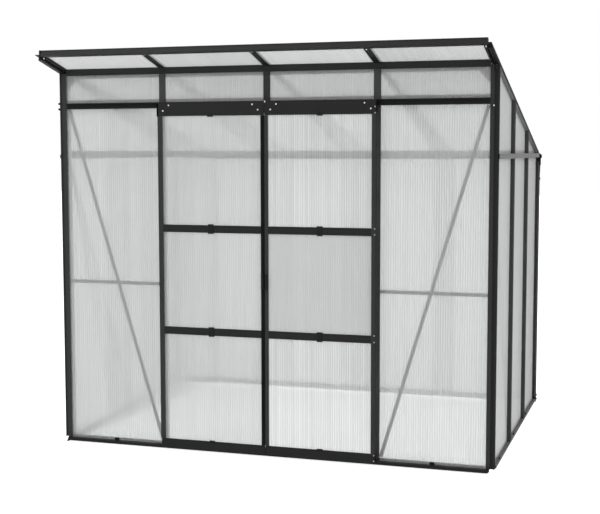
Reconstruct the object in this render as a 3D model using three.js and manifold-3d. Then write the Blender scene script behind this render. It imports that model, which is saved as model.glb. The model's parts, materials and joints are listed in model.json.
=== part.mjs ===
// A lean-to greenhouse: an aluminium frame on ground sills, glazed with twin-wall sheet. One roof
// slope falls from a tall front, which holds two sliding doors, to a low rear eave and its gutter.
// Millimetres, +Z up, +X to the right of someone who faces the doors. The building's own frame has
// y = 0 at the front wall's outer face and z = 0 on the ground; the last lines centre it.
import * as THREE from "three";
import { mergeVertices } from "three/addons/utils/BufferGeometryUtils.js";
import Module from "manifold-3d";

const wasm = await Module();
wasm.setup();

// The building
const frontBays = 4;
const sideBays = 3;
const baySpacing = 633; // centre to centre of the uprights in the front and rear walls
const sideBaySpacing = 646; // the same in the side walls
const frontRise = 2208; // ground to the seat of the roof at the front face
const rearRise = 1708; // the same at the rear face
const overhang = 258; // front face to the fascia, level
const seat = 0.3; // clearance between pieces that rest on or against each other

// Sections that several pieces share
const postFace = 45; // both faces of a corner post
const postGrooveEdge = 6; // outer corner to the groove in each face
const postGrooveWidth = 14;
const postGrooveDepth = 5;
const barWidth = 40; // face of an upright
const barDepth = 21; // how far a side or rear bar stands in front of the sheet
const frontBarDepth = 6; // the same for the flat bars of the front wall
const barChamfer = 2.5;
const wall = 2; // wall of every hollow section
const sheet = 6; // twin-wall glazing sheet
const leg = 3; // thickness of the legs and plates that hold a sheet's edge
const stripWidth = 20; // flat bracing strips
const stripThickness = 3;

// Sills, and the guide that the doors' feet run on
const sillHeight = 22;
const sillDepth = 40;
const sillLegHeight = 14; // leg behind the sheet, above the sill
const sillChamfer = 10; // outer bottom edge of the sills that carry no guide
const sideSillGap = 41; // front posts to the side sills' front ends
const sillUnderPost = 14; // front sill's ends under the front posts, which stand on them
const guideRise = 8; // ground to the guide's underside
const guideLip = 18; // height of the guide and its lip
const guideLipThickness = 2.5;
const guideReach = 35.5; // front face to the lip's front

// Front beam, header with the door track, and the rear beam with its gutter
const frontBeamHeight = 34; // the roof's seat to the beam's underside
const frontBeamOver = 4; // the beam's top above the roof's seat, between the rafters
const beamLegDrop = 18.5; // leg behind the sheet, below the front beam
const transomClear = 161; // front beam to header
const headerHeight = 34;
const headerLegOver = 19; // leg behind the sheet, above the header
const headerLegShort = 3; // the header's underside to the leg below its plate
const trackDepth = 20; // how far the track stands in front of the wall
const trackLip = 4;
const trackLipThickness = 1.5;
const rearBeamHeight = 31;
const rearLegDrop = 34; // leg behind the rear sheet
const gutterReach = 56; // rear face to the gutter's outer face
const gutterOver = 4; // how far the gutter passes each side wall
const gutterDip = 9; // rear beam's top to the gutter's outer edge
const spoutTopRadius = 27;
const spoutEndRadius = 20;
const spoutLength = 150;
const spoutInset = 28; // gutter's end to the spout's centre line

// Roof
const rafterWidth = 24;
const rafterHeight = 7; // the roof's seat to the underside of its sheet
const gableDrop = 20; // gable rafter below the roof's seat
const ribDrop = 10; // gable rafter's rib below the roof's seat
const fasciaDepth = 24;
const fasciaDrop = 3.5; // fascia below the roof's seat
const fasciaTop = 30.5; // the same above it
const fasciaInset = 22; // side wall's face to the fascia's end
const fasciaSlot = 10; // depth of the slot that holds the roof sheet
const fasciaBead = 4; // height of the beads along the fascia's edges
const fasciaBeadProud = 2;
const gableNose = 18; // gable rafter's plate in front of the fascia
const roofSheetInset = 32; // side wall's face to the roof sheet's edge
const roofSheetDrip = 12; // roof sheet past the rear face

// Side rails and braces
const sideRailHeight = 28;
const sideRailThickness = 6;
const sideRailOver = 10; // rail's top above the rear seat of the roof
const sideRailSetback = 14; // front face to the rail's end
const sideRailShort = 100; // rail's other end to the rear face
const midBraceRise = 965; // ground to the centre of the front mid braces
const diagonalHeadGap = 4; // header to the head of a front diagonal
const diagonalFootRise = 18; // sill to the foot of a diagonal
const diagonalFootGap = 4; // upright to the foot of a front diagonal
const sideDiagonalHeadDrop = 30; // side rail to the head of a side diagonal

// Doors
const doorGap = 3; // running gap behind a door
const meetingGap = 3; // between the closed doors
const doorLap = 11; // how far a door laps the centre of its jamb
const doorFace = 6; // front part of a door's sections
const doorRebateSpare = 9.4; // depth of a door's rebate beyond its sheet
const stileWidth = 23;
const stileFin = 6; // reach of the outer stile's fin
const stileFinThickness = 2.5;
const stileFinSetback = 3; // door's face to the fin
const stileBack = 11; // width of an outer stile behind the rebate
const meetingStileWidth = 20;
const meetingStileBack = 8;
const meetingGrooveDepth = 3.5;
const meetingGrooveEdge = 2;
const topRailHeight = 78;
const topRailOverAxle = 16;
const topRailLap = 13; // top rail's front part over the sheet
const midRailHeight = 43;
const upperRailRise = 1273;
const lowerRailRise = 684;
const bottomRailHeight = 58;
const bottomRailLap = 11;
const footClear = 3; // door's foot over the guide
const footSlotSide = 2.5; // slot in the foot each side of the guide's lip
const footSlotOver = 6; // the same above it
const handleRise = 953;
const handleHeight = 98;
const handleProud = 2;
const handleInset = 1;

// Rollers
const wheelRadius = 13;
const wheelWidth = 8;
const wheelSetback = 5; // track's front to the wheel
const boreRadius = 4.6;
const axleRadius = 4;
const axleHeadRadius = 7;
const axleHead = 2;
const outerRollerInset = 64; // door's outer edge to the outer roller
const innerRollerInset = 68; // door's meeting edge to the inner roller
const roundSides = 24;
const overrun = 60; // how far a cutting body passes what it cuts

// Places that follow from the sizes above
const halfWidth = (frontBays * baySpacing + postFace) / 2;
const depth = sideBays * sideBaySpacing + postFace;
const pitch = Math.atan2(frontRise - rearRise, depth);
const rise = (height) => height / Math.cos(pitch); // upright height of a height square to the roof
const roofZ = (y) => frontRise - Math.tan(pitch) * y; // the roof's seat
// Distances of the sheet and of the leg that holds it, behind the outer face of a wall
const glazed = (barReach) => {
  const sheetFront = barReach + seat;
  const sheetBack = sheetFront + sheet;
  const legFront = sheetBack + seat;
  return { barReach, sheetFront, sheetBack, legFront, legBack: legFront + leg };
};
const shallow = glazed(frontBarDepth); // front wall
const deep = glazed(barDepth); // side and rear walls
const clearWidth = halfWidth - postFace - seat; // half the space between the corner posts
const clearFront = postFace + seat; // ends of that space in the side walls
const clearRear = depth - postFace - seat;
const frontBeamBottom = frontRise - frontBeamHeight;
const beamTop = (y) => roofZ(y) + rise(frontBeamOver);
const beamPlate = (y) => roofZ(y) - rise(seat) - leg; // underside of the front beam's plate
const headerTop = frontBeamBottom - transomClear;
const headerBottom = headerTop - headerHeight;
const headerMiddle = (headerTop + headerBottom) / 2;
const rafterEnd = (depth - barDepth - seat - rafterHeight * Math.sin(pitch)) / Math.cos(pitch);
const rearSeatZ = roofZ(rafterEnd * Math.cos(pitch)) - seat;
const rearBeamTop = roofZ(depth) + rise(rafterHeight);
const rearBeamBottom = rearBeamTop - rearBeamHeight;
const rearPlate = Math.min(rearSeatZ, rearBeamTop) - leg; // underside of the rear beam's plate
const sideRailTop = rearRise + sideRailOver;
const fasciaFront = -overhang / Math.cos(pitch);
const fasciaBack = fasciaFront + fasciaDepth;

const paint = { color: 0x1c1e1f, roughness: 0.45, metalness: 0.55 };
const glazing = { color: 0xd4dadb, roughness: 0.25, metalness: 0, transparent: true, opacity: 0.45 };
const nylon = { color: 0x101010, roughness: 0.6, metalness: 0 };

const greenhouse = new THREE.Group();
const roof = new THREE.Group(); // its y runs down the slope and its z is square to the roof's seat
roof.position.z = frontRise;
roof.rotation.x = -pitch;
greenhouse.add(roof);

// Sections: lists of [a, b] corners, and the three ways to draw them out into a bar
const box = (a0, a1, b0, b1) => [[a0, b0], [a1, b0], [a1, b1], [a0, b1]];
const insetBox = (a0, a1, b0, b1) => box(a0 + wall, a1 - wall, b0 + wall, b1 - wall);

function section(corners, ...hollows) {
  const points = (list) => list.map(([a, b]) => new THREE.Vector2(a, b));
  const outline = points(corners);
  if (THREE.ShapeUtils.isClockWise(outline)) outline.reverse();
  const shape = new THREE.Shape(outline);
  for (const hollow of hollows) shape.holes.push(new THREE.Path(points(hollow)));
  return shape;
}

function drawn(shape, length, across, up, along) {
  const geometry = new THREE.ExtrudeGeometry(shape, { depth: length, bevelEnabled: false });
  return geometry.applyMatrix4(new THREE.Matrix4().makeBasis(across, up, along));
}

const X = new THREE.Vector3(1, 0, 0);
const Y = new THREE.Vector3(0, 1, 0);
const Z = new THREE.Vector3(0, 0, 1);
const drawnUp = (shape, length) => drawn(shape, length, X, Y, Z); // [a, b] is [x, y]
const drawnAcross = (shape, length) => drawn(shape, length, Y, Z, X); // [a, b] is [y, z]
// Here [a, b] is [x, z], and the bar runs from its place towards -Y.
const drawnForward = (shape, length) => drawn(shape, length, X, Z, Y.clone().negate());

function put(parent, name, finish, geometry, x = 0, y = 0, z = 0) {
  const mesh = new THREE.Mesh(geometry, new THREE.MeshStandardMaterial(finish));
  mesh.name = name;
  mesh.position.set(x, y, z);
  parent.add(mesh);
  return mesh;
}

// Solids that can be cut and joined
function solid(geometry) {
  const bare = geometry.clone();
  bare.deleteAttribute("normal");
  bare.deleteAttribute("uv");
  const merged = mergeVertices(bare);
  const triVerts = new Uint32Array(merged.index.array);
  const vertProperties = merged.attributes.position.array;
  return new wasm.Manifold(new wasm.Mesh({ numProp: 3, vertProperties, triVerts }));
}

function surface(body) {
  const mesh = body.getMesh();
  const geometry = new THREE.BufferGeometry();
  geometry.setAttribute("position", new THREE.BufferAttribute(mesh.vertProperties, mesh.numProp));
  geometry.setIndex(new THREE.BufferAttribute(mesh.triVerts, 1));
  const flat = geometry.toNonIndexed();
  flat.computeVertexNormals();
  return flat;
}

function block(x0, x1, y0, y1, z0, z1) {
  const geometry = new THREE.BoxGeometry(x1 - x0, y1 - y0, z1 - z0);
  return solid(geometry.translate((x0 + x1) / 2, (y0 + y1) / 2, (z0 + z1) / 2));
}

// Everything above a plane that lies "drop" below the roof's seat, as a body in the building's frame
function aboveRoof(drop) {
  const front = -overrun;
  const rear = depth + overrun;
  const top = frontRise + overrun;
  const under = (y) => roofZ(y) - rise(drop);
  const corners = [[front, under(front)], [rear, under(rear)], [rear, top], [front, top]];
  const length = 2 * (halfWidth + overrun);
  return solid(drawnAcross(section(corners), length).translate(-length / 2, 0, 0));
}

const underGable = aboveRoof(gableDrop + seat);

// The four walls: where a point lies that is "along" a wall and "inward" of its outer face
const walls = {
  front: (along, inward) => [along, inward],
  rear: (along, inward) => [along, depth - inward],
  left: (along, inward) => [-halfWidth + inward, along],
  right: (along, inward) => [halfWidth - inward, along],
};
const glazedIn = (wallOf) => (wallOf === walls.front ? shallow : deep);

// Corner posts: [a, b] is measured from the outer corner along the front or rear face and the side
function cornerPost(name, side, end) {
  const groove = postGrooveEdge + postGrooveWidth;
  const face = [[0, 0], [postGrooveEdge, 0], [postGrooveEdge, postGrooveDepth],
    [groove, postGrooveDepth], [groove, 0], [postFace, 0]];
  const flank = face.map(([a, b]) => [b, a]).reverse().slice(0, -1);
  const inner = postGrooveDepth + wall;
  const hollow = box(inner, postFace - wall, inner, postFace - wall);
  const [cornerX, cornerY] = [side * halfWidth, end < 0 ? 0 : depth];
  const place = (list) => list.map(([a, b]) => [cornerX - side * a, cornerY - end * b]);
  const outline = section(place([...face, [postFace, postFace], ...flank]), place(hollow));
  const foot = end < 0 ? sillHeight + seat : 0;
  let post = solid(drawnUp(outline, frontRise - foot)).translate([0, 0, foot]).subtract(underGable);
  if (end > 0) {
    const reach = halfWidth + overrun;
    const rearEdge = depth - barDepth - seat;
    const beam = block(-reach, reach, rearEdge, depth + overrun, rearBeamBottom - seat, frontRise);
    post = post.subtract(beam);
  }
  put(greenhouse, name, paint, surface(post));
}

// Sills lie between the posts, with a leg behind the sheet
function sillCorners(wallOf, outerCorners) {
  const { legFront, legBack } = glazedIn(wallOf);
  return [...outerCorners, [sillDepth, 0], [sillDepth, sillHeight], [legBack, sillHeight],
    [legBack, sillHeight + sillLegHeight], [legFront, sillHeight + sillLegHeight],
    [legFront, sillHeight], [0, sillHeight]];
}

function sill(name, wallOf, start, end) {
  const corners = sillCorners(wallOf, [[0, sillChamfer], [sillChamfer, 0]]);
  const [inner, top] = [sillDepth - wall, sillHeight - wall];
  const hollow = [[sillChamfer + wall, wall], [inner, wall], [inner, top], [wall, top],
    [wall, sillChamfer + wall]];
  lay(name, wallOf, corners, [hollow], start, end);
}

// The front sill carries the doors' guide and runs on under the posts
function frontSill() {
  const reach = clearWidth + sillUnderPost;
  const guideTop = guideRise + leg;
  const lipBack = guideLipThickness - guideReach;
  const guide = [[0, guideTop], [lipBack, guideTop], [lipBack, guideRise + guideLip],
    [-guideReach, guideRise + guideLip], [-guideReach, guideRise], [0, guideRise]];
  const corners = [...sillCorners(walls.front, [[0, 0]]), ...guide];
  const hollow = insetBox(0, sillDepth, 0, sillHeight);
  let bar = solid(level(walls.front, corners, [hollow], 2 * reach).translate(-reach, 0, 0));
  for (const side of [-1, 1]) {
    const ends = [side * clearWidth, side * (reach + overrun)].sort((p, q) => p - q);
    const legTop = sillHeight + sillLegHeight + overrun;
    bar = bar.subtract(block(...ends, 0, sillDepth, sillHeight, legTop));
  }
  put(greenhouse, "front_sill", paint, surface(bar));
}

// A straight level bar along a wall: corners are [inward, z], and it runs from start to end
function lay(name, wallOf, corners, hollows, start, end) {
  const geometry = level(wallOf, corners, hollows, end - start);
  put(greenhouse, name, paint, geometry, ...levelPlace(wallOf, start, end));
}

function level(wallOf, corners, hollows, length) {
  const across = wallOf === walls.front || wallOf === walls.rear;
  const outer = wallOf(0, 0)[across ? 1 : 0];
  const turned = (list) => list.map(([inward, z]) => [wallOf(0, inward)[across ? 1 : 0] - outer, z]);
  const shape = section(turned(corners), ...hollows.map(turned));
  return across ? drawnAcross(shape, length) : drawnForward(shape, length);
}

function levelPlace(wallOf, start, end) {
  const [x, y] = wallOf(0, 0);
  return wallOf === walls.front || wallOf === walls.rear ? [start, y, 0] : [x, end, 0];
}

// Glazing bars stand in front of the sheet, from z0 up to z1 or to the gable rafter
function glazingBar(name, wallOf, along, z0, z1, underRafter) {
  const half = barWidth / 2;
  const reach = glazedIn(wallOf).barReach;
  const corners = [[-half, reach], [-half, barChamfer], [barChamfer - half, 0],
    [half - barChamfer, 0], [half, barChamfer], [half, reach]];
  const place = (list) => list.map(([a, inward]) => wallOf(along + a, inward));
  const outline = section(place(corners), place(insetBox(-half, half, 0, reach)));
  let bar = solid(drawnUp(outline, z1 - z0)).translate([0, 0, z0]);
  if (underRafter) bar = bar.subtract(underGable);
  put(greenhouse, name, paint, surface(bar));
}

// Front beam: its top follows the roof between the rafters, which it is notched for, and a leg
// hangs behind the sheet
function frontBeam() {
  const { barReach, legFront, legBack } = shallow;
  const legBottom = frontBeamBottom - beamLegDrop;
  const corners = [[0, beamTop(0)], [legBack, beamTop(legBack)], [legBack, legBottom],
    [legFront, legBottom], [legFront, beamPlate(legFront)], [barReach, beamPlate(barReach)],
    [barReach, frontBeamBottom], [0, frontBeamBottom]];
  const hollow = insetBox(0, barReach, frontBeamBottom, beamPlate(barReach));
  const bar = level(walls.front, corners, [hollow], 2 * clearWidth);
  let body = solid(bar.translate(-clearWidth, 0, 0));
  const half = rafterWidth / 2 + seat;
  for (const x of [-baySpacing, 0, baySpacing]) {
    const notch = block(x - half, x + half, -overrun, overrun, frontBeamBottom, frontRise + overrun);
    body = body.subtract(notch.intersect(aboveRoof(seat)));
  }
  put(greenhouse, "front_beam", paint, surface(body));
}

// Header: the track's open channel in front, a lintel between the uprights, and plates for the
// sheets above and below. It is notched where the uprights pass.
function header() {
  const { barReach, legFront, legBack } = shallow;
  const plateTop = headerMiddle + leg / 2;
  const plateBottom = headerMiddle - leg / 2;
  const lipBack = trackLipThickness - trackDepth;
  const corners = [
    [-trackDepth, headerBottom], [barReach, headerBottom], [barReach, plateBottom],
    [legFront, plateBottom], [legFront, headerBottom + headerLegShort],
    [legBack, headerBottom + headerLegShort], [legBack, headerTop + headerLegOver],
    [legFront, headerTop + headerLegOver], [legFront, plateTop], [barReach, plateTop],
    [barReach, headerTop], [-trackDepth, headerTop], [-trackDepth, headerTop - wall - trackLip],
    [lipBack, headerTop - wall - trackLip], [lipBack, headerTop - wall], [-wall, headerTop - wall],
    [-wall, headerBottom + wall], [lipBack, headerBottom + wall],
    [lipBack, headerBottom + wall + trackLip], [-trackDepth, headerBottom + wall + trackLip],
  ];
  const hollow = box(wall, barReach - wall, headerBottom + leg, headerTop - leg);
  const bar = level(walls.front, corners, [hollow], 2 * clearWidth);
  let body = solid(bar.translate(-clearWidth, 0, 0));
  for (const x of [-baySpacing, 0, baySpacing]) {
    const half = barWidth / 2 + seat;
    const notch = block(x - half, x + half, -seat, barReach + seat / 2,
      headerBottom - overrun, headerTop + overrun);
    body = body.subtract(notch);
  }
  put(greenhouse, "header_rail", paint, surface(body));
}

// Rear beam and gutter in one section, with a plate for the rafters' feet and a leg behind the
// sheet. The plate and leg stop short of the posts, plates stop the gutter's ends, and a rainwater
// spout hangs at the right end.
function rearBeam() {
  const { legFront, legBack } = deep;
  const legBottom = rearSeatZ - rearLegDrop;
  const edge = rearBeamTop - gutterDip;
  const corners = [
    [barDepth, rearBeamBottom], [-gutterReach, rearBeamBottom], [-gutterReach, edge],
    [wall - gutterReach, edge], [wall - gutterReach, rearBeamBottom + wall],
    [0, rearBeamBottom + wall], [0, rearBeamTop], [barDepth, rearBeamTop], [barDepth, rearSeatZ],
    [legBack, rearSeatZ], [legBack, legBottom], [legFront, legBottom], [legFront, rearPlate],
    [barDepth, rearPlate],
  ];
  const end = halfWidth + gutterOver;
  const hollow = box(wall, barDepth - wall, rearBeamBottom + leg, rearBeamTop - leg);
  const bar = level(walls.rear, corners, [hollow], 2 * end).translate(-end, depth, 0);
  const spoutX = end - spoutInset;
  const spoutY = depth + gutterReach / 2;
  const cone = (inset, over) => {
    const run = spoutLength + over;
    const [top, foot] = [spoutTopRadius - inset, spoutEndRadius - inset];
    const upright = new THREE.CylinderGeometry(top, foot, run, roundSides);
    upright.applyMatrix4(new THREE.Matrix4().makeBasis(X, Z, Y.clone().negate()));
    return solid(upright).translate([spoutX, spoutY, rearBeamBottom + wall / 2 - spoutLength / 2]);
  };
  let body = solid(bar).add(cone(0, 0)).subtract(cone(wall, 2 * wall));
  for (const side of [-1, 1]) {
    const span = (a, b) => [side * a, side * b].sort((p, q) => p - q);
    const front = depth - barDepth;
    const corner = block(...span(clearWidth, end + overrun), front - overrun, front,
      rearBeamBottom - overrun, frontRise);
    const stop = block(...span(end - wall, end), depth, depth + gutterReach, rearBeamBottom, edge);
    body = body.subtract(corner).add(stop);
  }
  put(greenhouse, "rear_gutter_beam", paint, surface(body));
}

// Side rails pass outside the glazing bars at eave height
function sideRail(name, wallOf) {
  const corners = box(-seat - sideRailThickness, -seat, sideRailTop - sideRailHeight, sideRailTop);
  lay(name, wallOf, corners, [], sideRailSetback, depth - sideRailShort);
}

// Gable rafter: a lip and a leg hold the side sheet's top edge, and a rib carries the roof sheet.
// Beside the fascia it is a plain plate, which ends in a nose.
function gableRafter(name, side) {
  const { barReach, legFront, legBack } = deep;
  const place = (list) => list.map(([a, w]) => [side * (halfWidth - a), w]);
  const lipAndPlate = [[0, -gableDrop], [barReach, -gableDrop], [barReach, -leg], [legFront, -leg],
    [legFront, -gableDrop], [legBack, -gableDrop], [legBack, -leg], [postFace, -leg],
    [postFace, 0], [0, 0]];
  const plate = box(0, fasciaInset - seat, -leg, 0);
  const rib = box(legBack, postFace, -ribDrop, rafterHeight);
  const ribHollow = insetBox(legBack, postFace, -ribDrop, rafterHeight);
  const run = (shape, start) => solid(drawnForward(shape, rafterEnd - start).translate(0, rafterEnd, 0));
  const start = fasciaBack + seat;
  const body = run(section(place(plate)), fasciaFront - gableNose)
    .add(run(section(place(lipAndPlate)), start))
    .add(run(section(place(rib)), start))
    .subtract(run(section(place(ribHollow)), start - overrun).translate([0, overrun / 2, 0]));
  put(roof, name, paint, surface(body));
}

function rafter(name, x) {
  const half = rafterWidth / 2;
  const outline = section(box(-half, half, 0, rafterHeight), insetBox(-half, half, 0, rafterHeight));
  const start = fasciaBack + seat;
  put(roof, name, paint, drawnForward(outline, rafterEnd - start), x, rafterEnd, 0);
}

// Fascia: beads along its edges, and a slot behind for the roof sheet's front edge
function fascia() {
  const slotBottom = rafterHeight;
  const slotTop = slotBottom + sheet + 2 * seat;
  const slotFront = fasciaBack - fasciaSlot;
  const beadFront = fasciaFront - fasciaBeadProud;
  const corners = [
    [beadFront, -fasciaDrop], [fasciaBack, -fasciaDrop], [fasciaBack, slotBottom],
    [slotFront, slotBottom], [slotFront, slotTop], [fasciaBack, slotTop], [fasciaBack, fasciaTop],
    [beadFront, fasciaTop], [beadFront, fasciaTop - fasciaBead],
    [fasciaFront, fasciaTop - fasciaBead], [fasciaFront, fasciaBead - fasciaDrop],
    [beadFront, fasciaBead - fasciaDrop],
  ];
  const end = halfWidth - fasciaInset;
  put(roof, "fascia", paint, drawnAcross(section(corners), 2 * end), -end);
}

// Flat bracing strips, drawn from one [x or y, z] point to another in a plane of the wall
function strip(name, wallOf, inward, from, to) {
  const [run, climb] = [to[0] - from[0], to[1] - from[1]];
  const length = Math.hypot(run, climb);
  const across = wallOf === walls.front || wallOf === walls.rear;
  const size = across ? [length, stripThickness, stripWidth] : [stripThickness, length, stripWidth];
  const centre = inward + stripThickness / 2;
  const [x, y] = wallOf((from[0] + to[0]) / 2, centre);
  const mesh = put(greenhouse, name, paint, new THREE.BoxGeometry(...size), x, y, (from[1] + to[1]) / 2);
  if (across) mesh.rotation.y = -Math.atan2(climb, run);
  else mesh.rotation.x = Math.atan2(climb, run);
}

// How far from its centre line a leaning strip's square end reaches, level
const endReach = (run, climb) => (stripWidth / 2) * (Math.abs(climb) / Math.hypot(run, climb));

function braces(name, side) {
  const midZ = midBraceRise;
  const innerX = baySpacing;
  const behindLeg = shallow.legBack + seat;
  strip(`${name}_mid_brace`, walls.front, behindLeg, [side * clearWidth, midZ], [side * innerX, midZ]);
  const footX = baySpacing + barWidth / 2 + diagonalFootGap;
  const footZ = sillHeight + diagonalFootRise;
  const headZ = headerBottom - diagonalHeadGap;
  const headX = clearWidth - endReach(clearWidth - footX, headZ - footZ);
  const overMid = behindLeg + stripThickness + seat;
  strip(`${name}_front_diagonal`, walls.front, overMid, [side * footX, footZ], [side * headX, headZ]);
  const sideHeadZ = sideRailTop - sideRailHeight - sideDiagonalHeadDrop;
  const sideFootY = postFace / 2 + sideBaySpacing;
  const sideHeadY = clearFront + endReach(sideFootY - clearFront, sideHeadZ - footZ);
  const sideStrip = [[sideHeadY, sideHeadZ], [sideFootY, footZ]];
  strip(`${name}_side_diagonal`, walls[name], deep.legBack + seat, ...sideStrip);
}

// Glazing sheets
function wallSheet(name, wallOf, start, end, z0, z1) {
  const { sheetFront, sheetBack } = glazedIn(wallOf);
  const corners = box(sheetFront, sheetBack, z0, z1);
  const geometry = level(wallOf, corners, [], end - start);
  put(greenhouse, name, glazing, geometry, ...levelPlace(wallOf, start, end));
}

function sideSheet(name, side) {
  const top = (y) => roofZ(y) - rise(leg + seat);
  const bottom = sillHeight + seat;
  const corners = [[clearFront, bottom], [clearRear, bottom], [clearRear, top(clearRear)],
    [clearFront, top(clearFront)]];
  const x = side < 0 ? -halfWidth + deep.sheetFront : halfWidth - deep.sheetBack;
  put(greenhouse, name, glazing, drawnAcross(section(corners), sheet), x);
}

function roofSheet() {
  const start = fasciaBack - fasciaSlot + seat;
  const end = (depth + roofSheetDrip) / Math.cos(pitch);
  const half = halfWidth - roofSheetInset;
  const outline = section(box(-half, half, 0, sheet));
  put(roof, "roof_sheet", glazing, drawnForward(outline, end - start), 0, end, rafterHeight + seat);
}

// One door, drawn for the side it slides to. Corners are [distance from the building's middle, y].
const doorBack = -(trackDepth + doorGap);
const doorRebate = sheet + 2 * seat + doorRebateSpare;
const doorMiddle = doorBack - doorRebate; // behind the front part of the sections
const doorFront = doorMiddle - doorFace;
const doorEdge = baySpacing + doorLap; // outermost edge, with the fin
const doorOuter = doorEdge - stileFin;
const doorInner = meetingGap / 2;
const axleZ = headerBottom + wall + seat + wheelRadius;
const topRailTop = axleZ + topRailOverAxle;
const topRailBottom = topRailTop - topRailHeight;
const footZ = guideRise + leg + footClear;
const bottomRailTop = footZ - footClear + bottomRailHeight;
const stileBottom = bottomRailTop + seat;
const stileTop = topRailBottom - seat;
const wheelFront = wheelSetback - trackDepth;

function door(name, side) {
  const place = (list) => list.map(([a, y]) => [side * a, y]);
  const span = (a0, a1) => [side * a0, side * a1].sort((p, q) => p - q);
  const group = new THREE.Group();
  greenhouse.add(group);

  const upright = (shape, z0, z1) => solid(drawnUp(shape, z1 - z0)).translate([0, 0, z0]);
  const outerCorners = [
    [doorOuter, doorFront], [doorOuter, doorFront + stileFinSetback],
    [doorEdge, doorFront + stileFinSetback], [doorEdge, doorFront + stileFinSetback + stileFinThickness],
    [doorOuter, doorFront + stileFinSetback + stileFinThickness], [doorOuter, doorBack],
    [doorOuter - stileBack, doorBack], [doorOuter - stileBack, doorMiddle],
    [doorOuter - stileWidth, doorMiddle], [doorOuter - stileWidth, doorFront],
  ];
  const outerHollow = insetBox(doorOuter - stileWidth, doorOuter, doorFront, doorMiddle);
  const outer = upright(section(place(outerCorners), place(outerHollow)), stileBottom, stileTop);
  put(group, `${name}_outer_stile`, paint, surface(outer));

  const meeting = doorInner + meetingStileWidth;
  const [grooveStart, grooveEnd] = [doorInner + meetingGrooveEdge, meeting - meetingGrooveEdge];
  const grooveBack = doorFront + meetingGrooveDepth;
  const groove = [[grooveStart, doorFront], [grooveStart, grooveBack], [grooveEnd, grooveBack],
    [grooveEnd, doorFront]];
  const innerCorners = [
    [doorInner, doorFront], ...(side < 0 ? groove : []), [meeting, doorFront], [meeting, doorMiddle],
    [doorInner + meetingStileBack, doorMiddle], [doorInner + meetingStileBack, doorBack],
    [doorInner, doorBack],
  ];
  const handleSpan = span(doorInner + handleInset, meeting - handleInset);
  const handleBack = doorFront + wall;
  const handle = block(...handleSpan, doorFront - handleProud, handleBack,
    handleRise, handleRise + handleHeight);
  const inner = upright(section(place(innerCorners)), stileBottom, stileTop).add(handle);
  put(group, `${name}_inner_stile`, paint, surface(inner));

  const [railStart, railEnd] = span(doorInner, doorOuter);
  const railLength = railEnd - railStart;
  const topCorners = [
    [doorFront, topRailBottom], [doorMiddle, topRailBottom], [doorMiddle, topRailBottom + topRailLap],
    [doorBack, topRailBottom + topRailLap], [doorBack, topRailTop], [doorFront, topRailTop],
  ];
  const topHollow = insetBox(doorFront, doorBack, topRailBottom + topRailLap, topRailTop);
  let topRail = solid(drawnAcross(section(topCorners, topHollow), railLength)).translate([railStart, 0, 0]);
  const rollers = { outer: doorOuter - outerRollerInset, inner: doorInner + innerRollerInset };
  const headBack = wheelFront + wheelWidth + seat + axleHead;
  const round = (radius, length) => new THREE.CylinderGeometry(radius, radius, length, roundSides);
  for (const at of Object.values(rollers)) {
    const axleStart = doorBack - wall / 2;
    const axleLength = headBack - axleStart;
    const axle = round(axleRadius, axleLength).translate(side * at, axleStart + axleLength / 2, axleZ);
    const head = round(axleHeadRadius, axleHead).translate(side * at, headBack - axleHead / 2, axleZ);
    topRail = topRail.add(solid(axle)).add(solid(head));
  }
  put(group, `${name}_top_rail`, paint, surface(topRail));

  const lip = { front: -guideReach - footSlotSide, back: guideLipThickness - guideReach + footSlotSide };
  const slotTop = guideRise + guideLip + footSlotOver;
  const bottomCorners = [
    [doorFront, footZ - footClear], [lip.front, footZ - footClear], [lip.front, slotTop],
    [lip.back, slotTop], [lip.back, footZ], [doorBack, footZ], [doorBack, bottomRailTop - bottomRailLap],
    [doorMiddle, bottomRailTop - bottomRailLap], [doorMiddle, bottomRailTop], [doorFront, bottomRailTop],
  ];
  const bottomHollow = insetBox(doorFront, doorBack, slotTop, bottomRailTop - bottomRailLap);
  put(group, `${name}_bottom_rail`, paint,
    drawnAcross(section(bottomCorners, bottomHollow), railLength), railStart);

  const [midStart, midEnd] = span(meeting + seat, doorOuter - stileWidth - seat);
  for (const [level, railZ] of [["upper", upperRailRise], ["lower", lowerRailRise]]) {
    const outline = section(box(doorFront, doorMiddle, 0, midRailHeight),
      insetBox(doorFront, doorMiddle, 0, midRailHeight));
    put(group, `${name}_${level}_rail`, paint, drawnAcross(outline, midEnd - midStart), midStart, 0, railZ);
  }

  const [sheetStart, sheetEnd] = span(doorInner + meetingStileBack + seat, doorOuter - stileBack - seat);
  const sheetBottom = bottomRailTop - bottomRailLap + seat;
  const sheetTop = topRailBottom + topRailLap - seat;
  const slab = section(box(doorMiddle + seat, doorMiddle + seat + sheet, 0, sheetTop - sheetBottom));
  put(group, `${name}_sheet`, glazing, drawnAcross(slab, sheetEnd - sheetStart), sheetStart, 0, sheetBottom);

  // Each wheel is turned about its axle, so its profile runs round the bore and closes on itself.
  const crown = wheelWidth / 2;
  const profile = [[boreRadius, -crown], [wheelRadius - trackLipThickness, -crown],
    [wheelRadius, trackLipThickness - crown], [wheelRadius, crown - trackLipThickness],
    [wheelRadius - trackLipThickness, crown], [boreRadius, crown], [boreRadius, -crown]];
  for (const [place, at] of Object.entries(rollers)) {
    const wheel = new THREE.LatheGeometry(profile.map(([r, h]) => new THREE.Vector2(r, h)), roundSides);
    put(group, `${name}_${place}_roller`, nylon, wheel, side * at, wheelFront + crown, axleZ);
  }
}

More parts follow.
